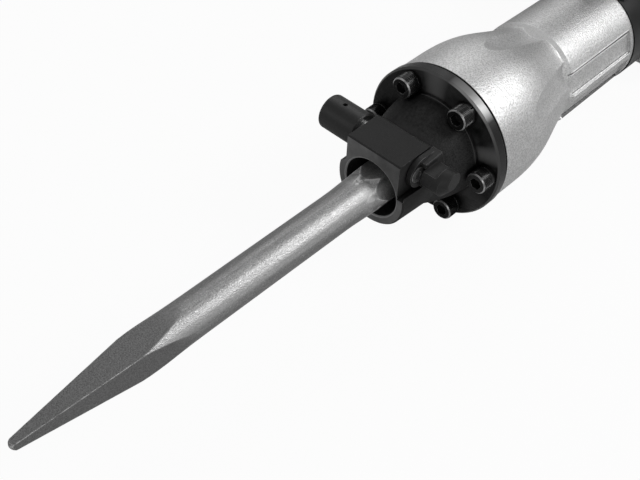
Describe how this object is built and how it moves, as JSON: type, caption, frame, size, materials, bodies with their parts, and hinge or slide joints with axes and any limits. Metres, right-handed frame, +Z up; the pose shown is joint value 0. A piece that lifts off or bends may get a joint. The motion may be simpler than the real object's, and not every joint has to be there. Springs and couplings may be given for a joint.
{
  "type": "electric chipping hammer",
  "caption": "Heavy electric chipping hammer with a hexagon-shank point chisel, black nose with turning retainer, silver bell-shaped cylinder case, side grip, side motor and D-handle.",
  "frame": {"origin": "middle of the footprint, on the floor that the tool lies on", "axes": "+X back along the barrel from the chisel's tip to the handle, +Y to the motor's side, +Z up, the way the nose block's flat top and the side grip point"},
  "size_m": [0.896, 0.2908, 0.2451],
  "materials": {
    "blasted_steel": "forged and blasted steel, matte with fine pits",
    "black_casting": "black enamel on a fine-grained casting",
    "black_oxide": "black oxide steel",
    "bright_steel": "turned steel",
    "dark_knob": "dark grey satin coating",
    "silver_casting": "silver cast aluminium with a fine sparkle",
    "machine_steel": "ground machine steel",
    "cast_iron": "fine cast iron",
    "gasket_sheet": "pressed gasket sheet",
    "black_rubber": "matte black rubber",
    "black_plastic": "black moulded plastic with a fine grain",
    "grey_plastic": "dark grey moulded plastic",
    "copper": "enamelled copper",
    "brass": "turned brass",
    "carbon": "pressed carbon",
    "band_steel": "black coated strip steel"
  },
  "bodies": {
    "hammer": {"front_cover": "black_casting", "front_cover_screws": "black_oxide", "spring_washers": "black_oxide", "cover_gasket": "gasket_sheet", "tool_sleeve": "machine_steel", "impact_guide": "machine_steel", "damper_ring": "black_rubber", "cylinder_case": "silver_casting", "case_bolts": "black_oxide", "cylinder_liner": "machine_steel", "crank_bearing": "bright_steel", "crank_end_bearing": "bright_steel", "crankcase": "silver_casting", "crank_cover": "black_casting", "crank_cover_screws": "black_oxide", "gear_cover": "silver_casting", "gear_cover_screws": "black_oxide", "armature_front_bearing": "bright_steel", "armature_rear_bearing": "bright_steel", "field_core": "cast_iron", "field_coils": "copper", "motor_housing": "grey_plastic", "motor_screws": "black_oxide", "brush_holders": "brass", "brushes": "carbon", "brush_caps": "black_plastic", "tail_cover": "black_plastic", "tail_screws": "black_oxide", "handle_upper_half": "black_plastic", "handle_lower_half": "black_plastic", "handle_screws": "black_oxide", "switch_body": "black_plastic", "cord_gland": "black_rubber"},
    "chisel": {"chisel": "blasted_steel"},
    "retainer": {"retainer_shaft": "bright_steel", "retainer_knob": "dark_knob", "knob_pin": "machine_steel", "retainer_arm": "dark_knob", "arm_pin": "machine_steel"},
    "impact_bolt": {"impact_bolt": "machine_steel"},
    "striker": {"striker": "machine_steel", "striker_ring": "black_rubber"},
    "piston": {"piston": "machine_steel", "piston_ring": "black_rubber", "piston_pin": "machine_steel"},
    "rod": {"connecting_rod": "machine_steel", "crank_pin": "machine_steel"},
    "crank": {"crankshaft": "machine_steel", "crank_gear": "machine_steel"},
    "armature": {"armature_shaft": "machine_steel", "armature_core": "cast_iron", "armature_windings": "copper", "commutator": "copper", "fan": "grey_plastic"},
    "trigger": {"trigger": "grey_plastic"},
    "lock_button": {"lock_button": "grey_plastic"},
    "side_handle": {"handle_band": "band_steel", "tee_bolt": "machine_steel", "handle_saddle": "black_plastic"},
    "side_grip": {"side_grip": "black_rubber"}
  },
  "joints": [
    {"name": "chisel_slide", "type": "slide", "parent": "hammer", "child": "chisel", "axis": [-1, 0, 0], "range_m": [0, 0.015]},
    {"name": "impact_bolt_slide", "type": "slide", "parent": "hammer", "child": "impact_bolt", "axis": [-1, 0, 0], "range_m": [0, 0.015]},
    {"name": "retainer_turn", "type": "hinge", "parent": "hammer", "child": "retainer", "pos_m": [-0.12915, -0.0866, 0.0789], "axis": [0, -1, 0], "range_deg": [0, 180]},
    {"name": "striker_slide", "type": "slide", "parent": "hammer", "child": "striker", "axis": [1, 0, 0], "range_m": [0, 0.028]},
    {"name": "piston_slide", "type": "slide", "parent": "hammer", "child": "piston", "axis": [-1, 0, 0], "range_m": [0, 0.04]},
    {"name": "rod_swing", "type": "hinge", "parent": "piston", "child": "rod", "pos_m": [0.17195, -0.0866, 0.0588], "axis": [0, 1, 0], "range_deg": [-14.4, 14.4]},
    {"name": "crank_spin", "type": "hinge", "parent": "hammer", "child": "crank", "pos_m": [0.23195, -0.0866, 0.0588], "axis": [0, 1, 0], "continuous": true},
    {"name": "armature_spin", "type": "hinge", "parent": "hammer", "child": "armature", "pos_m": [0.28595, -0.0866, 0.0588], "axis": [0, 1, 0], "continuous": true},
    {"name": "trigger_press", "type": "slide", "parent": "hammer", "child": "trigger", "axis": [1, 0, 0], "range_m": [0, 0.006], "stiffness_N_per_m": 800, "springref_m": -0.004},
    {"name": "lock_button_press", "type": "slide", "parent": "hammer", "child": "lock_button", "axis": [0, 0, -1], "range_m": [0, 0.003], "stiffness_N_per_m": 500, "springref_m": -0.003},
    {"name": "side_handle_swivel", "type": "hinge", "parent": "hammer", "child": "side_handle", "pos_m": [0.12785, -0.0866, 0.0588], "axis": [1, 0, 0], "continuous": true},
    {"name": "side_grip_turn", "type": "hinge", "parent": "side_handle", "child": "side_grip", "pos_m": [0.12785, -0.0866, 0.1788], "axis": [0, 0, 1], "continuous": true}
  ],
  "couplings": [
    {"joint": "impact_bolt_slide", "follows": "chisel_slide", "ratio": 1},
    {"joint": "armature_spin", "follows": "crank_spin", "ratio": -5}
  ]
}
